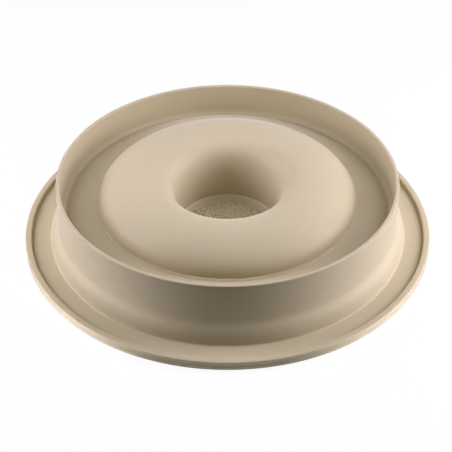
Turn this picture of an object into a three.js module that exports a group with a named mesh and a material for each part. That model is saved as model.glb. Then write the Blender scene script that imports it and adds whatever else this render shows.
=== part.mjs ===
// A ring-cake mould of soft silicone with a stiffening hoop in its rim, standing on its open side.
// Millimetres, +Z up. The origin is on the axis of the ring, at the level that the flange rests on.
import * as THREE from "three";

// Skirt: the upright foot that the mould stands on when it is turned over and filled
const SKIRT_RADIUS = 96.9; // outside, at the lip
const SKIRT_HEIGHT = 38.8;
const SKIRT_WALL = 2.1;
const SKIRT_DRAFT = 0.3; // outside radius gained from the lip down to the shoulder
const LIP_ROUNDING = 0.5;
const CREASE_ROUNDING = 5.5;

// Flange and the raised bead round its edge
const SHOULDER_SPREAD = 5.5; // shoulder's foot outside the bottom of the skirt
const FLANGE_WIDTH = 14.3;
const FLANGE_THICKNESS = 3;
const BEAD_WIDTH = 3.6;
const BEAD_HEIGHT = 5.2; // from the underside of the flange
const BEAD_ROUNDING = 0.6;
const BEAD_FOOT_ROUNDING = 0.3;
const CAVITY_EDGE_ROUNDING = 1;

// Stiffening hoop, pressed into a channel in the bead through a slit in the bead's outer face
const HOOP_WIRE_DIAMETER = 1.6;
const HOOP_CLEARANCE = 0.3; // between the wire and its channel, all round
const HOOP_SLIT = 0.5;
const HOOP_HEIGHT = 2.3; // of the wire's centre above the underside of the flange

// Land: the floor that falls from the ring to a hollow at the foot of the skirt's inner wall
const HOLLOW_WIDTH = 2.3; // lowest point to the wall
const HOLLOW_HEIGHT = 3.6; // lowest point to where the wall is upright
const HOLLOW_START = 237; // end of the land on the hollow's curve, in degrees from the outward direction
const LAND_WIDTH = 17.8; // inner edge to the hollow's lowest point
const LAND_FALL = 4.7;
const LAND_BEND = 4.2; // outer end of the land to where it turns down
const LAND_HEIGHT = 23.4; // at its inner edge
const EDGE_FULLNESS = 0.57; // handle share of the cake's rounded edge, which is the shoulder outside

// Ring: the hollow round dome that moulds the crown of the cake
const STEP_WIDTH = 1.5; // narrow step at the ring's foot
const STEP_HEIGHT = 0.7;
const RING_FLANK_WIDTH = 23.6; // foot to crest, outside
const RING_HEIGHT = 13.2; // crest above the step
const SHELL_WALL = 2.4;

// Well: the hollow post that makes the hole in the cake, with a funnel from the crest down to its wall
const MOUTH_WIDTH = 20.6; // crest to the upright wall
const CREST_FULLNESS = 0.6; // handle share of the funnel's curve where it leaves the crest level
const WALL_FULLNESS = 0.98; // handle share of the funnel's curve where it meets the wall upright
const WELL_WALL_HEIGHT = 8.6; // upright wall, from the floor to the funnel
const WELL_TAPER = 0.3; // radius lost from the top of the wall to the floor
const WELL_FLOOR_THICKNESS = 2.4;
const POST_SETBACK = 0.4; // post's end above the underside of the flange
const WELL_FILLET = 1.2;
const POST_ROUNDING = 1.5; // edge of the post's end, on the cake side

// Fineness of the turned surfaces
const TURN_SEGMENTS = 56;
const WIRE_SIDES = 8;
const CROWN_STEPS = 6;
const FUNNEL_STEPS = 8;
const EDGE_STEPS = 7;
const SHOULDER_STEPS = 5;
const LAND_STEPS = 4;
const HOLLOW_STEPS = 3;
const FILLET_STEPS = 2;
const SEARCH_HALVINGS = 40; // halvings in the search for a radius along a curve

// Radii and heights that follow from the sizes above
const creaseRadius = SKIRT_RADIUS + SKIRT_DRAFT;
const shoulderRadius = creaseRadius + SHOULDER_SPREAD;
const flangeRadius = shoulderRadius + FLANGE_WIDTH;
const skirtFootInside = creaseRadius - SKIRT_WALL;
const hollowRadius = skirtFootInside - HOLLOW_WIDTH;
const landRadius = hollowRadius - LAND_WIDTH;
const footRadius = landRadius - STEP_WIDTH;
const footHeight = LAND_HEIGHT + STEP_HEIGHT;
const crestRadius = footRadius - RING_FLANK_WIDTH;
const crestHeight = footHeight + RING_HEIGHT;
const mouthRadius = crestRadius - MOUTH_WIDTH;
const floorHeight = POST_SETBACK + WELL_FLOOR_THICKNESS;
const mouthHeight = floorHeight + WELL_WALL_HEIGHT;
const wellRadius = mouthRadius - WELL_TAPER;
const channelRadius = HOOP_WIRE_DIAMETER / 2 + HOOP_CLEARANCE;
const hoopRadius = flangeRadius - BEAD_WIDTH / 2;

// Profiles are drawn in a half-plane: x is the radius from the axis, y the height.
const at = (radius, height) => new THREE.Vector2(radius, height);
const radians = THREE.MathUtils.degToRad;

// An elliptical arc, with angles in degrees from the outward direction.
function arc(centre, semiWidth, semiHeight, from, to, steps) {
  const clockwise = to < from;
  const curve = new THREE.EllipseCurve(
    centre.x, centre.y, semiWidth, semiHeight, radians(from), radians(to), clockwise,
  );
  return curve.getPoints(steps);
}

// The rounding of a corner between two straight runs.
function rounded(before, corner, after, radius) {
  const back = before.clone().sub(corner).normalize();
  const ahead = after.clone().sub(corner).normalize();
  const halfAngle = Math.acos(back.dot(ahead)) / 2;
  const reach = radius / Math.tan(halfAngle);
  const start = corner.clone().addScaledVector(back, reach);
  const end = corner.clone().addScaledVector(ahead, reach);
  const bisector = back.add(ahead).normalize();
  const centre = corner.clone().addScaledVector(bisector, radius / Math.sin(halfAngle));
  const startAngle = Math.atan2(start.y - centre.y, start.x - centre.x);
  const endAngle = Math.atan2(end.y - centre.y, end.x - centre.x);
  const turn = Math.atan2(Math.sin(endAngle - startAngle), Math.cos(endAngle - startAngle));
  const curve = new THREE.EllipseCurve(
    centre.x, centre.y, radius, radius, startAngle, startAngle + turn, turn < 0,
  );
  return curve.getPoints(FILLET_STEPS);
}

// The rounded edge of the cake: it leaves the table upright and arrives at the land level.
function cakeEdge(outerRadius, innerRadius, height) {
  const reach = (outerRadius - innerRadius) * EDGE_FULLNESS;
  return new THREE.CubicBezierCurve(
    at(outerRadius, 0),
    at(outerRadius, height * EDGE_FULLNESS),
    at(innerRadius + reach, height),
    at(innerRadius, height),
  );
}

// The funnel: it leaves the well's wall upright and arrives at the crest level.
function funnel(wallTop, crest) {
  const rise = (crest.y - wallTop.y) * WALL_FULLNESS;
  const reach = (crest.x - wallTop.x) * CREST_FULLNESS;
  return new THREE.CubicBezierCurve(
    wallTop,
    at(wallTop.x, wallTop.y + rise),
    at(crest.x - reach, crest.y),
    crest,
  );
}

// The part of a curve from its start in to a radius. The radius shrinks along the curve.
function stretch(curve, toRadius, steps) {
  let low = 0;
  let high = 1;
  for (let halving = 0; halving < SEARCH_HALVINGS; halving++) {
    const middle = (low + high) / 2;
    if (curve.getPoint(middle).x > toRadius) low = middle;
    else high = middle;
  }
  return Array.from({ length: steps + 1 }, (_, i) => curve.getPoint((high * i) / steps));
}

// A profile turned round the upright axis.
function turned(profile) {
  return new THREE.LatheGeometry(profile, TURN_SEGMENTS).rotateX(Math.PI / 2);
}

// The well, the ring's crown and the land, from the axis out to the skirt.
function innerTop() {
  const floorCentre = at(0, floorHeight);
  const floorCorner = at(wellRadius, floorHeight);
  const wallTop = at(mouthRadius, mouthHeight);
  const crest = at(crestRadius, crestHeight);
  const hollowCentre = at(hollowRadius, LAND_HEIGHT - LAND_FALL + HOLLOW_HEIGHT);
  const hollow = arc(hollowCentre, HOLLOW_WIDTH, HOLLOW_HEIGHT, HOLLOW_START, 360, HOLLOW_STEPS);
  const landEnd = hollow[0];
  const landBend = at(landEnd.x - LAND_BEND, LAND_HEIGHT);
  const land = new THREE.QuadraticBezierCurve(at(landRadius, LAND_HEIGHT), landBend, landEnd);
  return [
    floorCentre,
    ...rounded(floorCentre, floorCorner, wallTop, WELL_FILLET),
    ...funnel(wallTop, crest).getPoints(FUNNEL_STEPS),
    ...arc(at(crestRadius, footHeight), RING_FLANK_WIDTH, RING_HEIGHT, 90, 0, CROWN_STEPS).slice(1),
    at(landRadius, footHeight),
    ...land.getPoints(LAND_STEPS),
    ...hollow.slice(1),
  ];
}

// The skirt and the shoulder, from the skirt's inner wall over the lip and down to the flange.
function skirtAndShoulder(edge) {
  const insideFoot = at(skirtFootInside, LAND_HEIGHT);
  const lipInside = at(SKIRT_RADIUS - SKIRT_WALL, SKIRT_HEIGHT);
  const lipOutside = at(SKIRT_RADIUS, SKIRT_HEIGHT);
  const shoulder = stretch(edge, creaseRadius, SHOULDER_STEPS).reverse();
  const [crease, belowCrease] = shoulder;
  return [
    ...rounded(insideFoot, lipInside, lipOutside, LIP_ROUNDING),
    ...rounded(lipInside, lipOutside, crease, LIP_ROUNDING),
    ...rounded(lipOutside, crease, belowCrease, CREASE_ROUNDING),
    ...shoulder.slice(1).filter((point) => point.y > FLANGE_THICKNESS),
    at(shoulderRadius, FLANGE_THICKNESS),
  ];
}

// The flange's bead, with the hoop's channel and its slit, down to the underside.
function beadAndChannel() {
  const beadInside = at(flangeRadius - BEAD_WIDTH, FLANGE_THICKNESS);
  const insideTop = at(flangeRadius - BEAD_WIDTH, BEAD_HEIGHT);
  const outsideTop = at(flangeRadius, BEAD_HEIGHT);
  const outsideFoot = at(flangeRadius, 0);
  const underside = at(shoulderRadius, 0);
  const slitAngle = THREE.MathUtils.radToDeg(Math.asin(HOOP_SLIT / 2 / channelRadius));
  const centre = at(hoopRadius, HOOP_HEIGHT);
  const channel = arc(centre, channelRadius, channelRadius, slitAngle, 360 - slitAngle, WIRE_SIDES);
  const slitTop = channel[0];
  const slitFoot = channel[WIRE_SIDES];
  return [
    beadInside,
    ...rounded(beadInside, insideTop, outsideTop, BEAD_ROUNDING),
    ...rounded(insideTop, outsideTop, outsideFoot, BEAD_ROUNDING),
    at(flangeRadius, slitTop.y),
    ...channel,
    at(flangeRadius, slitFoot.y),
    ...rounded(outsideTop, outsideFoot, underside, BEAD_FOOT_ROUNDING),
  ];
}

// The cake's side: the rounded edge, the hollow ring and the outside of the post.
function cakeSide() {
  const cavityRadius = shoulderRadius - SHELL_WALL;
  const cavityEdge = cakeEdge(cavityRadius, landRadius, LAND_HEIGHT - SHELL_WALL);
  const [edgeFoot, aboveFoot, ...edge] = cavityEdge.getPoints(EDGE_STEPS);
  const footDrop = STEP_HEIGHT + SHELL_WALL;
  const footReach = STEP_WIDTH + SHELL_WALL;
  const hollowFlank = RING_FLANK_WIDTH - SHELL_WALL;
  const hollowCrest = at(crestRadius, crestHeight - SHELL_WALL);
  const postTop = at(mouthRadius + SHELL_WALL, mouthHeight);
  const postEnd = at(wellRadius + SHELL_WALL, POST_SETBACK);
  const axisFoot = at(0, POST_SETBACK);
  return [
    ...rounded(at(flangeRadius, 0), edgeFoot, aboveFoot, CAVITY_EDGE_ROUNDING),
    aboveFoot,
    ...edge,
    ...arc(at(landRadius, footHeight), footReach, footDrop, 270, 180, FILLET_STEPS).slice(1),
    ...arc(at(crestRadius, footHeight), hollowFlank, RING_HEIGHT - SHELL_WALL, 0, 90, CROWN_STEPS).slice(1),
    ...funnel(postTop, hollowCrest).getPoints(FUNNEL_STEPS).reverse().slice(1),
    ...rounded(postTop, postEnd, axisFoot, POST_ROUNDING),
    axisFoot,
  ];
}

// The whole mould is one silicone moulding.
function mouldBody() {
  const edge = cakeEdge(shoulderRadius, landRadius, LAND_HEIGHT);
  const profile = [...innerTop(), ...skirtAndShoulder(edge), ...beadAndChannel(), ...cakeSide()];
  const silicone = new THREE.MeshStandardMaterial({ color: 0xcdbba0, roughness: 0.55, metalness: 0 });
  const mesh = new THREE.Mesh(turned(profile.reverse()), silicone);
  mesh.name = "mould_body";
  return mesh;
}

// The hoop is a ring of round wire, butt-welded into a circle.
function rimHoop() {
  const wireRadius = HOOP_WIRE_DIAMETER / 2;
  const section = arc(at(hoopRadius, HOOP_HEIGHT), wireRadius, wireRadius, 0, 360, WIRE_SIDES);
  section[WIRE_SIDES].copy(section[0]);
  const steel = new THREE.MeshStandardMaterial({ color: 0xb9bbbd, roughness: 0.35, metalness: 1 });
  const mesh = new THREE.Mesh(turned(section), steel);
  mesh.name = "rim_hoop";
  return mesh;
}

const mould = new THREE.Group();
mould.add(mouldBody(), rimHoop());

export default mould;
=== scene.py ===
# %% [markdown]
# # A silicone ring-cake mould
# The mould lies on its open side, as on a draining board. A baker turns it over to fill it: then it
# stands on the upright skirt, and the batter goes into the ring that is hidden underneath here.
# The construction comes ready-made, as solids of the right size with plain facets. This lesson loads
# them as a fixed frame and gives the mould its smooth moulded surface, its finish, its light and its view.

# %% Load the fixed frame
import math

import bpy
import numpy as np
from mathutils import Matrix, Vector


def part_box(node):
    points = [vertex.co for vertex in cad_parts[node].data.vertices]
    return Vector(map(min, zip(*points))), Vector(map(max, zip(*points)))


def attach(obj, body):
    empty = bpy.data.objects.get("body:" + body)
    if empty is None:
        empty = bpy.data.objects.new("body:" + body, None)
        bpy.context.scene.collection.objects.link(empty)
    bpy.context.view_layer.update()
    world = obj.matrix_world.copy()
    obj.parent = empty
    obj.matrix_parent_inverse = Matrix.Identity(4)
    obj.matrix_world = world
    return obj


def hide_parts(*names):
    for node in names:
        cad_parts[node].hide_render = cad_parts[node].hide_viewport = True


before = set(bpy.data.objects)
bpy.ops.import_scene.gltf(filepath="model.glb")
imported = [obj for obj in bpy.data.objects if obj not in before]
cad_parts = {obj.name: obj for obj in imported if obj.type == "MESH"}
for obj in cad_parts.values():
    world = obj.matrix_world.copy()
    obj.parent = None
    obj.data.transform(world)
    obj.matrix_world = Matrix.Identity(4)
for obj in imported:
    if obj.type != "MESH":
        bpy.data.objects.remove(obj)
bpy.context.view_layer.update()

# %% [markdown]
# ## Two helpers
# Blender measures in metres and mixes light in linear colour. Sizes are easier to judge in millimetres
# and colours in sRGB hex, so one value and one function change them over. Shaders and geometry are both
# made of nodes, so one more function adds a node, sets it up and links it.

# %% Millimetres, colours and nodes
MM = 0.001
HEX_PAIRS = (1, 3, 5)


def linear(hex_colour):
    """An sRGB hex colour as the linear colour that a socket holds."""
    shares = [int(hex_colour[start:start + 2], 16) / 255 for start in HEX_PAIRS]
    return [*(s / 12.92 if s <= 0.04045 else ((s + 0.055) / 1.055) ** 2.4 for s in shares), 1.0]


def add_node(tree, kind, inputs=None, **settings):
    """Adds a node. Inputs map a socket to a value, or to the output that is linked to it."""
    node = tree.nodes.new(kind)
    for name, value in settings.items():
        setattr(node, name, value)
    for socket, value in (inputs or {}).items():
        if isinstance(value, bpy.types.NodeSocket):
            tree.links.new(value, node.inputs[socket])
        else:
            node.inputs[socket].default_value = value
    return node


print("a middle grey in linear colour:", [round(share, 3) for share in linear("#808080")])

# %% [markdown]
# ## Camera
# The photograph looks down at the mould from about 38 degrees, from about 0.7 m away. The ellipses of
# the rim, the lip and the ring gave the angle and the distance, so the lens follows from how large the
# rim looks. The shift moves the picture by a pixel and a half, as in the photograph.

# %% Place the camera
PHOTO_WIDTH = 452
FOCAL_PIXELS = 1200
SENSOR_WIDTH = 36
CAMERA_ELEVATION = math.radians(38.14)
CAMERA_DISTANCE = 702.8 * MM
AIM = Vector((0, 0, 1.6 * MM))
SHIFT_PIXELS = 1.5

camera = bpy.data.objects.new("camera", bpy.data.cameras.new("camera"))
bpy.context.scene.collection.objects.link(camera)
camera.data.sensor_width = SENSOR_WIDTH
camera.data.lens = SENSOR_WIDTH * FOCAL_PIXELS / PHOTO_WIDTH
camera.data.shift_x = -SHIFT_PIXELS / PHOTO_WIDTH
towards_camera = Vector((0, -math.cos(CAMERA_ELEVATION), math.sin(CAMERA_ELEVATION)))
camera.location = AIM + towards_camera * CAMERA_DISTANCE
camera.rotation_euler = (math.pi / 2 - CAMERA_ELEVATION, 0, 0)
bpy.context.scene.camera = camera
print("lens", round(camera.data.lens, 1), "mm, camera at", [round(c, 3) for c in camera.location])

# %% [markdown]
# ## Silicone
# The mould is pigmented silicone rubber, cast in a steel tool. The outside of such a tool is blasted to
# a fine matt, and the cake side is polished so that the cake lets go. The eye sees an even, soft beige
# with a satin bloom, faint clouds in the pigment, and a glow at thin edges where light gets in.
# A Principled shader does all of it: noise tints the colour, finer noise roughens the surface, and an
# attribute on the mesh says how far a point belongs to the polished cake side.

# %% Values of the silicone finish
SILICONE_LIGHT = "#BEB28C"
SILICONE_DARK = "#B6AA84"
SILICONE_IOR = 1.41
CLOUD_SIZE = 30 * MM
CLOUD_DETAIL = 3
BLAST_SIZE = 0.7 * MM  # a blasted tool's grain is near 0.05 mm; drawn coarser, so that it shows
BLAST_HEIGHT = 0.012 * MM
BLAST_DETAIL = 2
MATT_ROUGHNESS = 0.56
POLISHED_ROUGHNESS = 0.34
CAKE_SIDE = "cake_side"  # attribute that is 1 on the polished side and 0 elsewhere
GLOW_SHARE = 0.1
GLOW_DEPTH = 0.9 * MM
GLOW_REACH = (1.0, 0.8, 0.55)  # how far red, green and blue light gets, as shares of the depth
BLOOM = 0.3
BLOOM_ROUGHNESS = 0.4
print("silicone from", SILICONE_DARK, "to", SILICONE_LIGHT)


# %% Silicone finish
def moulded_silicone():
    """Beige silicone rubber as it comes out of the tool: satin outside, smoother on the cake side."""
    material = bpy.data.materials.new("moulded_silicone")
    material.use_nodes = True
    tree = material.node_tree
    tree.nodes.clear()
    place = add_node(tree, "ShaderNodeTexCoord").outputs["Object"]
    clouds = add_node(tree, "ShaderNodeTexNoise", {
        "Vector": place, "Scale": 1 / CLOUD_SIZE, "Detail": CLOUD_DETAIL})
    tint = add_node(tree, "ShaderNodeValToRGB", {"Fac": clouds.outputs["Fac"]})
    tint.color_ramp.elements[0].color = linear(SILICONE_DARK)
    tint.color_ramp.elements[1].color = linear(SILICONE_LIGHT)
    grain = add_node(tree, "ShaderNodeTexNoise", {
        "Vector": place, "Scale": 1 / BLAST_SIZE, "Detail": BLAST_DETAIL})
    bump = add_node(tree, "ShaderNodeBump", {"Height": grain.outputs["Fac"], "Distance": BLAST_HEIGHT})
    side = add_node(tree, "ShaderNodeAttribute", attribute_name=CAKE_SIDE)
    polish = add_node(tree, "ShaderNodeMapRange", {
        "Value": side.outputs["Fac"], "To Min": MATT_ROUGHNESS, "To Max": POLISHED_ROUGHNESS})
    shader = add_node(tree, "ShaderNodeBsdfPrincipled", {
        "Base Color": tint.outputs["Color"], "Roughness": polish.outputs["Result"], "IOR": SILICONE_IOR,
        "Normal": bump.outputs["Normal"], "Subsurface Weight": GLOW_SHARE,
        "Subsurface Radius": GLOW_REACH, "Subsurface Scale": GLOW_DEPTH,
        "Sheen Weight": BLOOM, "Sheen Roughness": BLOOM_ROUGHNESS})
    add_node(tree, "ShaderNodeOutputMaterial", {"Surface": shader.outputs["BSDF"]})
    return material


silicone = moulded_silicone()
print("made", silicone.name)

# %% [markdown]
# ## Steel wire
# The hoop in the rim is drawn stainless wire. Drawing leaves fine lines along the wire and a bright,
# slightly uneven grey. Only a sliver could ever show through the slit, but the piece is finished all
# the same, because it can be taken out and looked at by itself.

# %% Steel finish
STEEL_GREY = "#B9BBBD"
DRAW_MARK_SIZE = 1.5 * MM
DRAW_MARK_DETAIL = 4
BRIGHT_ROUGHNESS = 0.22
DULL_ROUGHNESS = 0.42


def drawn_steel():
    """Stainless wire with the uneven gloss that a drawing die leaves."""
    material = bpy.data.materials.new("drawn_stainless_wire")
    material.use_nodes = True
    tree = material.node_tree
    tree.nodes.clear()
    place = add_node(tree, "ShaderNodeTexCoord").outputs["Object"]
    marks = add_node(tree, "ShaderNodeTexNoise", {
        "Vector": place, "Scale": 1 / DRAW_MARK_SIZE, "Detail": DRAW_MARK_DETAIL})
    gloss = add_node(tree, "ShaderNodeMapRange", {
        "Value": marks.outputs["Fac"], "To Min": BRIGHT_ROUGHNESS, "To Max": DULL_ROUGHNESS})
    shader = add_node(tree, "ShaderNodeBsdfPrincipled", {
        "Base Color": linear(STEEL_GREY), "Metallic": 1.0, "Roughness": gloss.outputs["Result"]})
    add_node(tree, "ShaderNodeOutputMaterial", {"Surface": shader.outputs["BSDF"]})
    return material


steel = drawn_steel()
print("made", steel.name)

# %% [markdown]
# ## A lathe made of nodes
# The mould and its hoop are bodies of revolution, so one rule makes both: draw half a section, then turn
# it about the upright axis. A Geometry Nodes tree is that lathe. It sweeps the drawn section round a
# small circle, welds the points that fall together on the axis and gives the surface its material.
# The Screw modifier could turn it too, but a tree with named inputs can be set again for every piece.

# %% Build the lathe
RAIL_RADIUS = 10 * MM  # circle that the section is carried round; the result doesn't depend on it
WELD_DISTANCE = 0.002 * MM


def lathe_tree():
    """The Geometry Nodes tree that turns a drawn section into a closed surface."""
    tree = bpy.data.node_groups.new("lathe", "GeometryNodeTree")
    for name, kind in (("Section", "NodeSocketGeometry"), ("Segments", "NodeSocketInt"),
                       ("Material", "NodeSocketMaterial")):
        tree.interface.new_socket(name, in_out="INPUT", socket_type=kind)
    tree.interface.new_socket("Turned", in_out="OUTPUT", socket_type="NodeSocketGeometry")
    given = add_node(tree, "NodeGroupInput").outputs
    section = add_node(tree, "GeometryNodeMeshToCurve", {"Mesh": given["Section"]})
    carried = add_node(tree, "GeometryNodeTransform", {
        "Geometry": section.outputs["Curve"], "Translation": (-RAIL_RADIUS, 0, 0), "Scale": (1, -1, 1)})
    rail = add_node(tree, "GeometryNodeCurvePrimitiveCircle", {
        "Resolution": given["Segments"], "Radius": RAIL_RADIUS})
    swept = add_node(tree, "GeometryNodeCurveToMesh", {
        "Curve": rail.outputs["Curve"], "Profile Curve": carried.outputs["Geometry"]})
    welded = add_node(tree, "GeometryNodeMergeByDistance", {
        "Geometry": swept.outputs["Mesh"], "Distance": WELD_DISTANCE})
    smooth = add_node(tree, "GeometryNodeSetShadeSmooth", {"Geometry": welded.outputs["Geometry"]})
    real = add_node(tree, "GeometryNodeRealizeInstances", {"Geometry": smooth.outputs["Geometry"]})
    finished = add_node(tree, "GeometryNodeSetMaterial", {
        "Geometry": real.outputs["Geometry"], "Material": given["Material"]})
    add_node(tree, "NodeGroupOutput", {"Turned": finished.outputs["Geometry"]})
    return tree


lathe = lathe_tree()
print("the lathe has", len(lathe.nodes), "nodes")


# %% Run a tree
def run_tree(name, mesh, tree, values):
    """Runs a tree on a mesh and returns an object that holds the result as a plain mesh."""
    piece = bpy.data.objects.new(name, mesh)
    bpy.context.scene.collection.objects.link(piece)
    modifier = piece.modifiers.new(tree.name, "NODES")
    modifier.node_group = tree
    for item in tree.interface.items_tree:
        if item.in_out == "INPUT" and item.name in values:
            modifier[item.identifier] = values[item.name]
    depsgraph = bpy.context.evaluated_depsgraph_get()
    result = bpy.data.meshes.new_from_object(piece.evaluated_get(depsgraph))
    piece.modifiers.remove(modifier)
    piece.data = result
    result.name = name
    return piece


print("a tree's inputs:", [item.name for item in lathe.interface.items_tree if item.in_out == "INPUT"])

# %% [markdown]
# ## Drawing a section
# A section is a list of corners, each with its radius from the axis, its height and the rounding that
# the tool gave it, in millimetres. Silicone has no sharp edges, so nearly every corner has a rounding,
# and those small roundings are what catch the light along the lip, the step and the bead. Round
# stretches come from an arc or a Bezier curve: the cake's rounded edge, the funnel of the well and the
# land that bends down. Their points are corners without a rounding of their own.

# %% Arcs and Bezier curves
ARC_STEPS = 20


def plain(points):
    """Points of a round stretch as corners with no rounding of their own."""
    return [(radius, height, 0) for radius, height in points]


def arc(centre, across, up, start, end, steps=ARC_STEPS):
    """Points on an elliptical arc, with angles in degrees from the outward direction."""
    angles = [math.radians(start + (end - start) * step / steps) for step in range(steps + 1)]
    return [(centre[0] + across * math.cos(a), centre[1] + up * math.sin(a)) for a in angles]


def bezier(*handles, steps):
    """Points along a Bezier curve with any number of handles."""
    along = np.linspace(0, 1, steps + 1)[:, None]
    last = len(handles) - 1
    shares = [math.comb(last, i) * along ** i * (1 - along) ** (last - i) for i in range(last + 1)]
    return np.hstack(shares) @ np.array(handles)


print("a plain arc has", len(arc((0, 0), 1, 1, 0, 90)), "points")

# %% The mould's own curves
EDGE_FULLNESS = 0.57
EDGE_STEPS = 44
WALL_FULLNESS = 0.98
CREST_FULLNESS = 0.6
FUNNEL_STEPS = 30


def cake_edge(outer, inner, height):
    """The cake's rounded edge: it leaves the table upright and arrives at the land level."""
    upright = (outer, height * EDGE_FULLNESS)
    level = (inner + (outer - inner) * EDGE_FULLNESS, height)
    return bezier((outer, 0), upright, level, (inner, height), steps=EDGE_STEPS)


def funnel(wall_top, crest):
    """The mouth of the well: it leaves the upright wall and arrives at the ring's crest level."""
    upright = (wall_top[0], wall_top[1] + (crest[1] - wall_top[1]) * WALL_FULLNESS)
    level = (crest[0] - (crest[0] - wall_top[0]) * CREST_FULLNESS, crest[1])
    return bezier(wall_top, upright, level, crest, steps=FUNNEL_STEPS)


print("the cake's edge takes", EDGE_STEPS, "steps and the funnel", FUNNEL_STEPS)

# %% Roundings
FILLET_STEPS = 5
LONGEST_RUN = 2.4


def rounded(before, corner, after):
    """Points that round one corner, or the corner itself where it has no rounding."""
    at = Vector(corner[:2])
    rounding = corner[2]
    if rounding == 0:
        return [at]
    back = (Vector(before[:2]) - at).normalized()
    ahead = (Vector(after[:2]) - at).normalized()
    half = back.angle(ahead) / 2
    centre = at + (back + ahead).normalized() * rounding / math.sin(half)
    start = at + back * rounding / math.tan(half) - centre
    end = at + ahead * rounding / math.tan(half) - centre
    shares = [step / FILLET_STEPS for step in range(FILLET_STEPS + 1)]
    return [centre + start.slerp(end, share) * rounding for share in shares]


def softened(corners):
    """The section's points, with each corner rounded and no run longer than the longest."""
    points = [Vector(corners[0][:2])]
    for before, corner, after in zip(corners, corners[1:], corners[2:]):
        points += rounded(before, corner, after)
    points.append(Vector(corners[-1][:2]))
    fine = [points[0]]
    for here, there in zip(points, points[1:]):
        pieces = math.ceil((there - here).length / LONGEST_RUN)
        fine += [here.lerp(there, piece / pieces) for piece in range(1, pieces + 1)]
    return fine


print("a rounded corner has", FILLET_STEPS + 1, "points")


# %% A section as a mesh
def section_mesh(name, points, polished_from=None, closed=False):
    """A mesh of bare edges along a section in millimetres, polished from one of its points on."""
    mesh = bpy.data.meshes.new(name)
    edges = [(i, i + 1) for i in range(len(points) - 1)]
    if closed:
        edges.append((len(points) - 1, 0))
    mesh.from_pydata([(x * MM, y * MM, 0) for x, y in points], edges, [])
    if polished_from is not None:
        polish = mesh.attributes.new(CAKE_SIDE, "FLOAT", "POINT")
        polish.data.foreach_set("value", [float(i >= polished_from) for i in range(len(points))])
    return mesh


print("a section carries the attribute", CAKE_SIDE)

# %% [markdown]
# ## The mould's section
# Sizes are in millimetres. The rim's radius and the skirt's height come from the frame, and the other
# radii follow from them, working inwards: flange, shoulder, skirt, hollow, land, step, ring and well.
# Heights count from the table up.

# %% Radii, from the rim inwards
mould_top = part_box("mould_body")[1]
rim_radius = mould_top.x / MM

FLANGE_WIDTH = 14.3
SHOULDER_SPREAD = 5.5  # shoulder's foot outside the bottom of the skirt
SKIRT_DRAFT = 0.3  # outside radius lost from the crease up to the lip
SKIRT_WALL = 2.1
HOLLOW_WIDTH = 2.3  # lowest point to the wall
LAND_WIDTH = 17.8  # inner edge to the hollow's lowest point
STEP_WIDTH = 1.5  # narrow step at the ring's foot
RING_FLANK_WIDTH = 23.6  # foot to crest
MOUTH_WIDTH = 20.6  # crest to the well's wall
WELL_TAPER = 0.3  # radius lost from the top of the well's wall to the floor
SHELL_WALL = 2.4

shoulder_radius = rim_radius - FLANGE_WIDTH
crease_radius = shoulder_radius - SHOULDER_SPREAD
lip_outside = crease_radius - SKIRT_DRAFT
lip_inside = lip_outside - SKIRT_WALL
hollow_radius = crease_radius - SKIRT_WALL - HOLLOW_WIDTH
land_radius = hollow_radius - LAND_WIDTH
foot_radius = land_radius - STEP_WIDTH
crest_radius = foot_radius - RING_FLANK_WIDTH
mouth_radius = crest_radius - MOUTH_WIDTH
well_radius = mouth_radius - WELL_TAPER
print("rim", round(rim_radius, 1), "crest", round(crest_radius, 1), "well", round(well_radius, 1))

# %% Heights, from the table up
lip_height = mould_top.z / MM

FLANGE_THICKNESS = 3.0
BEAD_HEIGHT = 5.2
HOLLOW_HEIGHT = 3.6  # lowest point to where the wall is upright
LAND_HEIGHT = 23.4  # at its inner edge
LAND_FALL = 4.7  # from the inner edge to the hollow's lowest point
STEP_HEIGHT = 0.7
RING_HEIGHT = 13.2  # crest above the step
POST_SETBACK = 0.4  # end of the post under the well
WELL_WALL_HEIGHT = 8.6  # upright wall, from the floor to the funnel

foot_height = LAND_HEIGHT + STEP_HEIGHT
crest_height = foot_height + RING_HEIGHT
floor_height = POST_SETBACK + SHELL_WALL
mouth_height = floor_height + WELL_WALL_HEIGHT
print("lip at", round(lip_height, 1), "crest at", round(crest_height, 1), "well's floor at", floor_height)

# %% Draw the well and the ring
LOW_RING_FOOT = 2.3  # the low ring on the floor, from the wall to where it begins to rise
LOW_RING_INSIDE = 1.1  # from the wall to the inner edge of its top
LOW_RING_OUTSIDE = 0.7  # from the wall to the outer edge of its top
LOW_RING_HEIGHT = 1.1
LOW_RING_ROUNDING = 0.3
LOW_RING_OUTER_ROUNDING = 0.15
GROOVE_INSET = 0.5  # groove behind the low ring, from the wall
GROOVE_HEIGHT = 0.4  # its bottom above the well's floor
GROOVE_ROUNDING = 0.1
WALL_FOOT = 0.7  # where the wall begins above the well's floor

low_ring = [
    (well_radius - LOW_RING_FOOT, floor_height, LOW_RING_ROUNDING),
    (well_radius - LOW_RING_INSIDE, floor_height + LOW_RING_HEIGHT, LOW_RING_ROUNDING),
    (well_radius - LOW_RING_OUTSIDE, floor_height + LOW_RING_HEIGHT, LOW_RING_OUTER_ROUNDING),
    (well_radius - GROOVE_INSET, floor_height + GROOVE_HEIGHT, GROOVE_ROUNDING),
    (well_radius, floor_height + WALL_FOOT, GROOVE_ROUNDING),
]
well_and_ring = [
    (0, floor_height, 0),
    *low_ring,
    *plain(funnel((mouth_radius, mouth_height), (crest_radius, crest_height))),
    *plain(arc((crest_radius, foot_height), RING_FLANK_WIDTH, RING_HEIGHT, 90, 0)[1:-1]),
]
print("well and ring:", len(well_and_ring), "corners")

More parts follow.
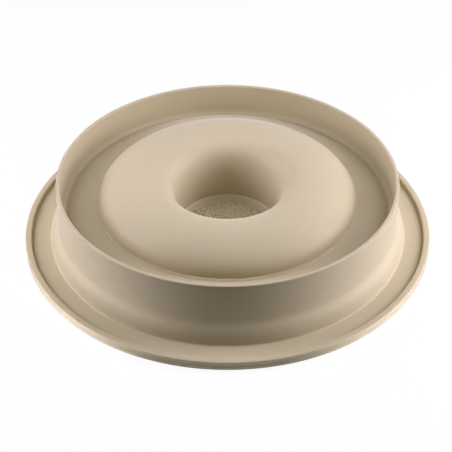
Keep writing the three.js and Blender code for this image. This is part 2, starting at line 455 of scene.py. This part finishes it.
# %% Draw the step, the land and the hollow
STEP_SLOPE = 0.4  # half the width of the step's soft slope
STEP_DIP = 0.1  # how far the slope's foot lies below the land
FOOT_ROUNDING = 0.2
STEP_ROUNDING = 0.5
LAND_BEND = 4.2  # outer end of the land to where it turns down
LAND_STEPS = 16
HOLLOW_START = 237  # where the land ends on the hollow's curve, in degrees from the outward direction

hollow_centre = (hollow_radius, LAND_HEIGHT - LAND_FALL + HOLLOW_HEIGHT)
hollow = arc(hollow_centre, HOLLOW_WIDTH, HOLLOW_HEIGHT, HOLLOW_START, 360)
land_bend = (hollow[0][0] - LAND_BEND, LAND_HEIGHT)
land = bezier((land_radius, LAND_HEIGHT), land_bend, hollow[0], steps=LAND_STEPS)
step_and_land = [
    (foot_radius, foot_height, FOOT_ROUNDING),
    (land_radius - STEP_SLOPE, foot_height, STEP_ROUNDING),
    (land_radius + STEP_SLOPE, LAND_HEIGHT - STEP_DIP, STEP_ROUNDING),
    *plain(land[2:-1]),  # the slope stands for its first two points, and the hollow holds its last
    *plain(hollow),
]
print("the hollow's lowest point is at", round(hollow_centre[1] - HOLLOW_HEIGHT, 1))

# %% Draw the skirt and the shoulder
LIP_ROUNDING = 0.5
CREASE_ROUNDING = 5.5
CREASE_REACH = 2.4  # stretch of the shoulder that the crease's rounding takes up
FLANGE_ROUNDING = 0.6
FLANGE_REACH = 1.2  # stretch of the shoulder that the flange's rounding takes up

edge = cake_edge(shoulder_radius, land_radius, LAND_HEIGHT)
crease_height = float(np.interp(crease_radius, edge[::-1, 0], edge[::-1, 1]))
shoulder_foot = float(np.interp(FLANGE_THICKNESS, edge[:, 1], edge[:, 0]))
outside_crease = edge[:, 0] > crease_radius + CREASE_REACH
above_flange = edge[:, 1] > FLANGE_THICKNESS + FLANGE_REACH
shoulder = edge[outside_crease & above_flange][::-1]
skirt_and_shoulder = [
    (lip_inside, lip_height, LIP_ROUNDING),
    (lip_outside, lip_height, LIP_ROUNDING),
    (crease_radius, crease_height, CREASE_ROUNDING),
    *plain(shoulder),
    (shoulder_foot, FLANGE_THICKNESS, FLANGE_ROUNDING),
]
print("the crease is at", round(crease_height, 1))

# %% Draw the channel for the hoop
HOOP_CLEARANCE = 0.3
HOOP_SLIT = 0.3

hoop_low, hoop_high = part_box("rim_hoop")
wire_radius = (hoop_high.z - hoop_low.z) / MM / 2
hoop_radius = hoop_high.x / MM - wire_radius
hoop_height = (hoop_high.z + hoop_low.z) / MM / 2
channel_radius = wire_radius + HOOP_CLEARANCE
slit_angle = math.degrees(math.asin(HOOP_SLIT / 2 / channel_radius))
channel = arc((hoop_radius, hoop_height), channel_radius, channel_radius, slit_angle, 360 - slit_angle)
print("wire", round(2 * wire_radius, 2), "mm thick on a radius of", round(hoop_radius, 1))

# %% Draw the bead
BEAD_WIDTH = 3.6
BEAD_ROUNDING = 0.6
BEAD_GROOVE_WIDTH = 0.7  # shallow groove in the flange, at the bead's inner foot
BEAD_GROOVE_INSET = 0.3
BEAD_GROOVE_DEPTH = 0.5
BEAD_GROOVE_ROUNDING = 0.12
BEAD_GROOVE_EDGE_ROUNDING = 0.15
SLIT_TOP_ROUNDING = 0.2
SLIT_BOTTOM_ROUNDING = 0.4
TABLE_ROUNDING = 0.3

bead_foot = rim_radius - BEAD_WIDTH
bead = [
    (bead_foot - BEAD_GROOVE_WIDTH, FLANGE_THICKNESS, BEAD_GROOVE_EDGE_ROUNDING),
    (bead_foot - BEAD_GROOVE_INSET, FLANGE_THICKNESS - BEAD_GROOVE_DEPTH, BEAD_GROOVE_ROUNDING),
    (bead_foot, FLANGE_THICKNESS, BEAD_GROOVE_ROUNDING),
    (bead_foot, BEAD_HEIGHT, BEAD_ROUNDING),
    (rim_radius, BEAD_HEIGHT, BEAD_ROUNDING),
    (rim_radius, hoop_height + HOOP_SLIT / 2, SLIT_TOP_ROUNDING),
    *plain(channel),
    (rim_radius, hoop_height - HOOP_SLIT / 2, SLIT_BOTTOM_ROUNDING),
    (rim_radius, 0, TABLE_ROUNDING),
]
print("bead:", len(bead), "corners")

# %% Draw the cake side
CAVITY_ROUNDING = 1
CAVITY_START = 1.6  # height at which the cavity's wall leaves the rounding at the table
TURN_WIDTH = 4.0  # bend from under the land up into the ring
TURN_STEPS = 10
POST_ROUNDING = 1.5

cavity_radius = shoulder_radius - SHELL_WALL
cavity_edge = cake_edge(cavity_radius, land_radius, LAND_HEIGHT - SHELL_WALL)
cavity_wall = cavity_edge[cavity_edge[:, 1] > CAVITY_START]
turn = arc((land_radius, foot_height), TURN_WIDTH, STEP_HEIGHT + SHELL_WALL, 270, 180, TURN_STEPS)
flank_inside = arc(
    (crest_radius, foot_height), RING_FLANK_WIDTH - SHELL_WALL, RING_HEIGHT - SHELL_WALL, 0, 90)
funnel_inside = funnel(
    (mouth_radius + SHELL_WALL, mouth_height), (crest_radius, crest_height - SHELL_WALL))
cake_side = [
    (cavity_radius, 0, CAVITY_ROUNDING),
    *plain(cavity_wall),
    *plain(turn[1:]),
    *plain(flank_inside[1:]),
    *plain(funnel_inside[-2::-1]),
    (well_radius + SHELL_WALL, POST_SETBACK, POST_ROUNDING),
    (0, POST_SETBACK, 0),
]
print("cake side:", len(cake_side), "corners")

# %% Turn the mould
MOULD_SEGMENTS = 224

points = softened(well_and_ring + step_and_land + skirt_and_shoulder + bead + cake_side)
underside = next(i for i, point in enumerate(points) if point.y < WELD_DISTANCE / MM)
section = section_mesh("mould_section", points, underside)
mould = run_tree("moulded_body", section, lathe, {"Segments": MOULD_SEGMENTS, "Material": silicone})
print("section points:", len(points), "faces:", len(mould.data.polygons))

# %% Turn the hoop
HOOP_SEGMENTS = 256
WIRE_SIDES = 16

wire_points = arc((hoop_radius, hoop_height), wire_radius, wire_radius, 360, 0, WIRE_SIDES)
wire_section = section_mesh("wire_section", wire_points[:-1], closed=True)
hoop = run_tree("wire_hoop", wire_section, lathe, {"Segments": HOOP_SEGMENTS, "Material": steel})
print("hoop faces:", len(hoop.data.polygons))

# %% [markdown]
# ## Stipple on the well's floor
# The floor of the well has a field of low raised grains. They start from the rule that a sunflower's
# seeds follow: each grain is a golden angle further round and its distance grows with the square root of
# its number, so they fill the disc evenly. Points scattered at random would leave gaps and lumps.
# A second tree puts one small flattened sphere on each point, lets it stray a little, so that no rows
# show, and twists it at random, as if the tool had been worked by hand.

# %% Sizes of the stipple
GOLDEN_ANGLE = math.pi * (3 - math.sqrt(5))
GRAINS = 540
FIRST_GRAIN = 16  # the first numbers are left out, so the middle stays bare
GRAIN_SPACING = 1.0 * MM
GRAIN_RADIUS = 0.65 * MM
GRAIN_SHAPE = (1.4, 0.65, 1.2)
GRAIN_SIDES = 8
GRAIN_RINGS = 4
GRAIN_STRAY = 0.5 * MM
STRAY_SEED = 8
GRAIN_TWIST = 1.6
TWIST_SEED = 7
print("stippled to a radius of", round(GRAIN_SPACING / MM * math.sqrt(FIRST_GRAIN + GRAINS), 1), "mm")


# %% Build the stipple
def stipple_tree():
    """The Geometry Nodes tree that lays grains on a spiral."""
    tree = bpy.data.node_groups.new("stipple", "GeometryNodeTree")
    for name, kind in (("Count", "NodeSocketInt"), ("Spacing", "NodeSocketFloat"),
                       ("Radius", "NodeSocketFloat"), ("Height", "NodeSocketFloat"),
                       ("Material", "NodeSocketMaterial")):
        tree.interface.new_socket(name, in_out="INPUT", socket_type=kind)
    tree.interface.new_socket("Grains", in_out="OUTPUT", socket_type="NodeSocketGeometry")
    given = add_node(tree, "NodeGroupInput").outputs
    index = add_node(tree, "GeometryNodeInputIndex").outputs["Index"]
    number = add_node(tree, "ShaderNodeMath", {0: index, 1: FIRST_GRAIN}, operation="ADD").outputs[0]
    turn = add_node(tree, "ShaderNodeMath", {0: number, 1: GOLDEN_ANGLE}, operation="MULTIPLY").outputs[0]
    root = add_node(tree, "ShaderNodeMath", {0: number}, operation="SQRT").outputs[0]
    distance = add_node(tree, "ShaderNodeMath", {0: root, 1: given["Spacing"]}, operation="MULTIPLY")
    outward = add_node(tree, "ShaderNodeCombineXYZ", {"X": distance.outputs[0], "Z": given["Height"]})
    spiral = add_node(tree, "ShaderNodeVectorRotate", {
        "Vector": outward.outputs["Vector"], "Angle": turn}, rotation_type="Z_AXIS")
    stray = add_node(tree, "FunctionNodeRandomValue", {
        0: (-GRAIN_STRAY, -GRAIN_STRAY, 0), 1: (GRAIN_STRAY, GRAIN_STRAY, 0), "Seed": STRAY_SEED},
        data_type="FLOAT_VECTOR")
    place = add_node(tree, "ShaderNodeVectorMath", {
        0: spiral.outputs["Vector"], 1: stray.outputs[0]}, operation="ADD")
    spots = add_node(tree, "GeometryNodePoints", {
        "Count": given["Count"], "Position": place.outputs["Vector"]})
    ball = add_node(tree, "GeometryNodeMeshUVSphere", {
        "Segments": GRAIN_SIDES, "Rings": GRAIN_RINGS, "Radius": given["Radius"]})
    twist = add_node(tree, "FunctionNodeRandomValue", {
        2: -GRAIN_TWIST, 3: GRAIN_TWIST, "Seed": TWIST_SEED}, data_type="FLOAT")
    bearing = add_node(tree, "ShaderNodeMath", {0: turn, 1: twist.outputs[1]}, operation="ADD")
    facing = add_node(tree, "ShaderNodeCombineXYZ", {"Z": bearing.outputs[0]})
    grains = add_node(tree, "GeometryNodeInstanceOnPoints", {
        "Points": spots.outputs[0], "Instance": ball.outputs["Mesh"],
        "Rotation": facing.outputs["Vector"], "Scale": GRAIN_SHAPE})
    smooth = add_node(tree, "GeometryNodeSetShadeSmooth", {"Geometry": grains.outputs["Instances"]})
    real = add_node(tree, "GeometryNodeRealizeInstances", {"Geometry": smooth.outputs["Geometry"]})
    finished = add_node(tree, "GeometryNodeSetMaterial", {
        "Geometry": real.outputs["Geometry"], "Material": given["Material"]})
    add_node(tree, "NodeGroupOutput", {"Grains": finished.outputs["Geometry"]})
    return tree


spiral_of_grains = stipple_tree()
print("the stipple's tree has", len(spiral_of_grains.nodes), "nodes")

# %% Lay the stipple
stipple = run_tree("well_stipple", bpy.data.meshes.new("no_mesh"), spiral_of_grains, {
    "Count": GRAINS, "Spacing": GRAIN_SPACING, "Radius": GRAIN_RADIUS, "Height": floor_height * MM,
    "Material": silicone})
print("stipple faces:", len(stipple.data.polygons))

# %% [markdown]
# ## Floor and light
# The mould is shown on white. The floor and the world look white to the camera and in reflections, and
# stay dim for the light that falls on the mould. That light comes from softboxes close by at the left
# and the right, and from weaker ones further out and above. Nothing large fills in from the front, so
# the near wall falls into shade. A small card over the ring opens up the back of the well and of the
# skirt, and strips by the rim stand for the light that white paper throws back on it.

# %% White to the eye
WHITE = "#FFFFFF"


def white_to_the_eye(tree):
    """A factor that is 1 where a surface is looked at, straight or in a reflection."""
    path = add_node(tree, "ShaderNodeLightPath").outputs
    seen = path["Is Camera Ray"]
    for way in ("Is Glossy Ray", "Is Transmission Ray"):
        seen = add_node(tree, "ShaderNodeMath", {0: seen, 1: path[way]}, operation="MAXIMUM").outputs[0]
    return seen


print("background", WHITE)

# %% Paper floor
FLOOR_SIDE = 6.0
FLOOR_DROP = 0.1 * MM
FLOOR_GREY = "#8C8C8A"
FLOOR_WHITE = "#F6F6F4"
WHITE_SHARE = 0.92  # the rest of what the eye sees of the paper is lit, so that a shadow shows


def pale_floor():
    """White seamless paper, which keeps a faint shadow."""
    material = bpy.data.materials.new("white_paper")
    material.use_nodes = True
    tree = material.node_tree
    tree.nodes.clear()
    seen = white_to_the_eye(tree)
    tone = add_node(tree, "ShaderNodeMix", {
        "Factor": seen, 6: linear(FLOOR_GREY), 7: linear(FLOOR_WHITE)}, data_type="RGBA")
    paper = add_node(tree, "ShaderNodeBsdfDiffuse", {"Color": tone.outputs[2]})
    glow = add_node(tree, "ShaderNodeEmission", {"Color": linear(WHITE)})
    share = add_node(tree, "ShaderNodeMath", {0: seen, 1: WHITE_SHARE}, operation="MULTIPLY")
    mix = add_node(tree, "ShaderNodeMixShader", {
        0: share.outputs[0], 1: paper.outputs["BSDF"], 2: glow.outputs["Emission"]})
    add_node(tree, "ShaderNodeOutputMaterial", {"Surface": mix.outputs["Shader"]})
    return material


half = FLOOR_SIDE / 2
floor_mesh = bpy.data.meshes.new("floor")
square = ((-half, -half), (half, -half), (half, half), (-half, half))
floor_mesh.from_pydata([(x, y, -FLOOR_DROP) for x, y in square], [], [(0, 1, 2, 3)])
floor_mesh.materials.append(pale_floor())
floor = bpy.data.objects.new("floor", floor_mesh)
bpy.context.scene.collection.objects.link(floor)
print("floor of", FLOOR_SIDE, "m")

# %% World
DIM_WORLD = 0.05

world = bpy.data.worlds.new("studio")
bpy.context.scene.world = world
world.use_nodes = True
sky = world.node_tree
sky.nodes.clear()
dim = add_node(sky, "ShaderNodeBackground", {"Color": linear(WHITE), "Strength": DIM_WORLD})
white = add_node(sky, "ShaderNodeBackground", {"Color": linear(WHITE), "Strength": 1.0})
mixed = add_node(sky, "ShaderNodeMixShader", {
    0: white_to_the_eye(sky), 1: dim.outputs["Background"], 2: white.outputs["Background"]})
add_node(sky, "ShaderNodeOutputWorld", {"Surface": mixed.outputs["Shader"]})
print("the world lights the mould at a strength of", DIM_WORLD)

# %% Softboxes
LAMP_WHITE = "#ECE7FF"


def softbox(name, place, size, watts, target=AIM):
    """A soft rectangular lamp that faces a target and isn't seen itself."""
    lamp = bpy.data.lights.new(name, "AREA")
    lamp.shape = "RECTANGLE"
    lamp.size, lamp.size_y = size
    lamp.energy = watts
    lamp.color = linear(LAMP_WHITE)[:3]
    box = bpy.data.objects.new(name, lamp)
    bpy.context.scene.collection.objects.link(box)
    box.location = place
    box.rotation_euler = (Vector(target) - Vector(place)).to_track_quat("-Z", "Y").to_euler()
    box.visible_camera = False
    return box


NEAR_BOX = (0.2, 0.2)
FAR_BOX = (0.45, 0.5)
TOP_BOX = (0.6, 0.6)
lamps = [
    softbox("left_softbox", (-0.35, -0.03, 0.15), NEAR_BOX, watts=1.25),
    softbox("right_softbox", (0.35, -0.03, 0.15), NEAR_BOX, watts=1.42),
    softbox("left_far_box", (-0.9, 0, 0.38), FAR_BOX, watts=1.0),
    softbox("right_far_box", (0.9, 0, 0.38), FAR_BOX, watts=2.75),
    softbox("left_top_box", (-0.7, 0.25, 1.0), TOP_BOX, watts=3.3),
    softbox("right_top_box", (0.7, 0.25, 1.0), TOP_BOX, watts=4.3),
    softbox("back_top_box", (0, 0.7, 1.0), TOP_BOX, watts=2.3),
]
print("lamps:", [lamp.name for lamp in lamps])

# %% Card and strips
FILL_CARD = (0.16, 0.04)
BACK_WALL = (0, 0.1, 0.03)  # inside of the skirt, at the back
STRIP = (0.1, 0.002)
STRIP_HEIGHT = 0.002
RIM_CENTRE = (0, 0, STRIP_HEIGHT)

cards = [
    softbox("fill_card", (0, -0.02, 0.1), FILL_CARD, watts=0.027, target=BACK_WALL),
    softbox("left_strip", (-0.088, -0.088, STRIP_HEIGHT), STRIP, watts=0.0054, target=RIM_CENTRE),
    softbox("front_strip", (0, -0.125, STRIP_HEIGHT), STRIP, watts=0.0012, target=RIM_CENTRE),
    softbox("right_strip", (0.088, -0.088, STRIP_HEIGHT), STRIP, watts=0.0043, target=RIM_CENTRE),
]
print("cards:", [card.name for card in cards])

# %% [markdown]
# ## Hand the pieces to the frame
# Each finished piece rides on the frame's one body. The mould and the hoop stand for the plain solids
# that they cover.

# %% Hand over
for piece, node, slot in ((mould, "mould_body", "silicone"), (hoop, "rim_hoop", "hoop_steel")):
    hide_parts(node)
    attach(piece, "root")
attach(stipple, "root")

bpy.context.scene.view_settings.view_transform = "Standard"
